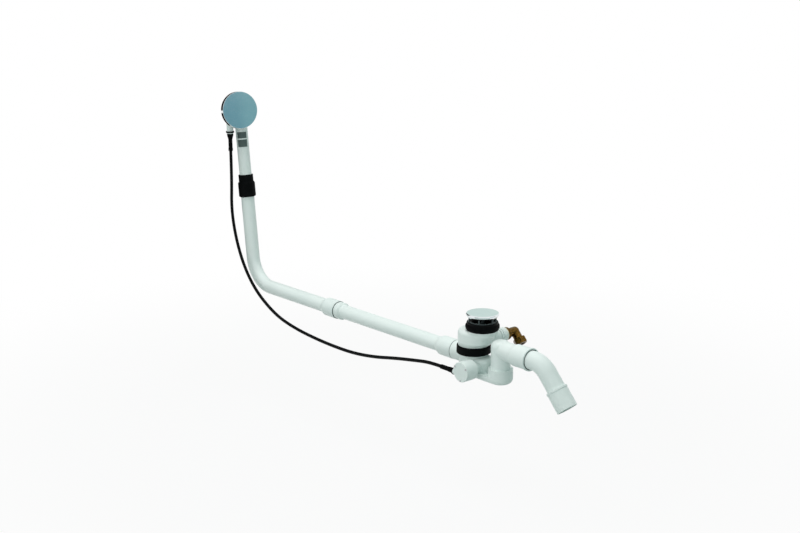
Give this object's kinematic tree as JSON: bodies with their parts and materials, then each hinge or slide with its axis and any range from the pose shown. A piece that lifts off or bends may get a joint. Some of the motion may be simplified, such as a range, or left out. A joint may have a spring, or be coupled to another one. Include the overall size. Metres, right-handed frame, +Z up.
{
  "type": "bath waste and overflow",
  "caption": "Bath waste and overflow with turning overflow knob, pull cable, drain valve, trap, swivel outlet bend and a water inlet at the waste.",
  "frame": {"origin": "centre of the waste, on the top face of the seal that lies under the bath", "axes": "+Z up along the waste axis, +X along the overflow pipe towards the outlet"},
  "size_m": [1.1036, 0.1767, 0.5449],
  "materials": {
    "white_plastic": "satin moulded",
    "chrome": "polished",
    "black_rubber": "matt",
    "black_plastic": "satin",
    "seal_grey": "matt",
    "brass": "as cast and turned",
    "steel": "plain",
    "cream_plastic": "matt",
    "grey_plastic": "matt"
  },
  "bodies": {
    "fixed": {"actuator_cover": "white_plastic", "actuator_housing": "white_plastic", "actuator_screws": "steel", "bend_pipe_seal": "seal_grey", "cable_spigot_ring": "black_rubber", "clamp_ring": "black_rubber", "compression_nut": "brass", "compression_olive": "brass", "control_cable": "black_plastic", "coupling_sleeve": "black_rubber", "cover_cage": "black_plastic", "flange_screws": "steel", "gland_ferrule": "white_plastic", "gland_ring": "black_rubber", "inlet_body": "white_plastic", "inlet_elbow": "brass", "inlet_washer": "cream_plastic", "lower_boot": "black_rubber", "outlet_seal": "seal_grey", "overflow_bend_pipe": "white_plastic", "overflow_flange": "grey_plastic", "overflow_housing": "white_plastic", "overflow_seal": "black_rubber", "overflow_straight_pipe": "white_plastic", "profile_seal": "black_rubber", "riser_head": "white_plastic", "riser_seal": "black_rubber", "shaft_ring": "black_rubber", "straight_pipe_seal": "seal_grey", "trap_bowl": "white_plastic", "union_nut": "white_plastic", "upper_boot": "black_rubber", "valve_seat": "grey_plastic", "waste_cover": "chrome", "waste_flange": "black_plastic", "waste_tee": "white_plastic"},
    "knob": {"overflow_knob": "chrome", "knob_hub": "grey_plastic", "control_spindle": "grey_plastic", "upper_cable_nipple": "brass"},
    "lift": {"lever_shaft": "steel", "lift_lever": "grey_plastic", "cable_drum": "grey_plastic", "lower_cable_nipple": "brass"},
    "valve": {"valve_plug": "grey_plastic", "valve_washer": "black_rubber"},
    "outlet": {"outlet_bend": "white_plastic", "end_sleeve": "white_plastic"}
  },
  "joints": [
    {"name": "knob_turn", "type": "hinge", "parent": "fixed", "child": "knob", "pos_m": [-0.81699, -0.02329, 0.35023], "axis": [-0.9686, 0.2059, -0.1392], "range_deg": [0, 35.33]},
    {"name": "lever_turn", "type": "hinge", "parent": "fixed", "child": "lift", "pos_m": [0.008, 0, -0.089], "axis": [0, 1, 0], "range_deg": [0, 20.66]},
    {"name": "valve_lift", "type": "slide", "parent": "fixed", "child": "valve", "axis": [0, 0, 1], "range_m": [0, 0.01205]},
    {"name": "outlet_swivel", "type": "hinge", "parent": "fixed", "child": "outlet", "pos_m": [0.138, 0, -0.0455], "axis": [1, 0, 0], "continuous": true}
  ],
  "couplings": [
    {"joint": "lever_turn", "follows": "knob_turn", "ratio": 0.58333},
    {"joint": "valve_lift", "follows": "knob_turn", "m_per_rad": 0.01946}
  ]
}
